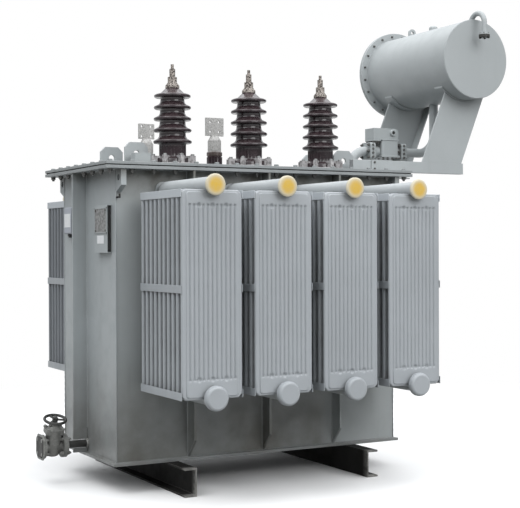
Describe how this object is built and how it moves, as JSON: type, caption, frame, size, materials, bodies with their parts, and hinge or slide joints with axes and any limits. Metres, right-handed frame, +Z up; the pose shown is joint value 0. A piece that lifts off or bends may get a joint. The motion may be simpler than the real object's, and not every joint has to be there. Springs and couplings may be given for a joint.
{
  "type": "oil-filled power transformer with panel radiators",
  "caption": "Oil-filled power transformer: steel tank on skids with panel radiators on both long sides, porcelain bushings on the cover and a drum conservator with gas relay at one end.",
  "frame": {"origin": "on the floor, under the middle of the whole machine's box", "axes": "+X along the tank towards the conservator, -Y to the front with the high voltage bushings, +Z up"},
  "size_m": [3.109, 2.238, 2.918],
  "materials": {
    "grey_paint": "satin",
    "radiator_paint": "satin",
    "dark_paint": "matte",
    "yellow_paint": "satin",
    "porcelain": "gloss",
    "cast_iron": "matte",
    "rubber": "matte",
    "brass": "satin",
    "bare_metal": "satin"
  },
  "bodies": {
    "transformer": {"base_plate": "grey_paint", "breather_pipe": "grey_paint", "conservator_beam_front": "grey_paint", "conservator_beam_rear": "grey_paint", "conservator_fittings": "grey_paint", "conservator_front_end": "grey_paint", "conservator_leg_front": "grey_paint", "conservator_leg_rear": "grey_paint", "conservator_rear_cover": "grey_paint", "conservator_rear_flange": "grey_paint", "conservator_saddles": "grey_paint", "conservator_shell": "grey_paint", "cover_gasket": "rubber", "cover_lifting_lugs": "grey_paint", "cover_plate": "grey_paint", "cover_pocket": "grey_paint", "drain_blind_flange": "cast_iron", "drain_stub_pipe": "grey_paint", "drain_valve_body": "cast_iron", "end_wall_stiffeners": "grey_paint", "front_header_pipes": "radiator_paint", "front_radiator_straps": "radiator_paint", "front_wall": "grey_paint", "front_wall_stiffeners": "grey_paint", "header_end_caps": "radiator_paint", "header_vent_caps": "yellow_paint", "hv_bushing_1": "porcelain", "hv_bushing_2": "porcelain", "hv_bushing_3": "porcelain", "hv_clamp_rings": "grey_paint", "hv_terminals": "brass", "left_end_wall": "grey_paint", "lv_bushings": "porcelain", "lv_terminals": "bare_metal", "nameplate": "bare_metal", "nameplate_bracket": "grey_paint", "radiator_front_1": "radiator_paint", "radiator_front_2": "radiator_paint", "radiator_front_3": "radiator_paint", "radiator_front_4": "radiator_paint", "radiator_rear_1": "radiator_paint", "radiator_rear_2": "radiator_paint", "radiator_rear_3": "radiator_paint", "radiator_rear_4": "radiator_paint", "rear_header_pipes": "radiator_paint", "rear_radiator_straps": "radiator_paint", "rear_wall": "grey_paint", "rear_wall_stiffeners": "grey_paint", "relay_body": "bare_metal", "relay_cover_pipe": "grey_paint", "relay_head": "bare_metal", "relay_riser_pipe": "grey_paint", "right_end_wall": "grey_paint", "skid_left": "dark_paint", "skid_right": "dark_paint", "tank_flange": "grey_paint", "tank_lifting_lugs": "grey_paint", "terminal_box": "grey_paint"},
    "handwheel": {"drain_handwheel": "cast_iron", "drain_valve_stem": "cast_iron"}
  },
  "joints": [
    {"name": "handwheel_turn", "type": "hinge", "parent": "transformer", "child": "handwheel", "pos_m": [-1.474, -0.00922, 0.38673], "axis": [0, -0.309, 0.9511], "continuous": true}
  ]
}
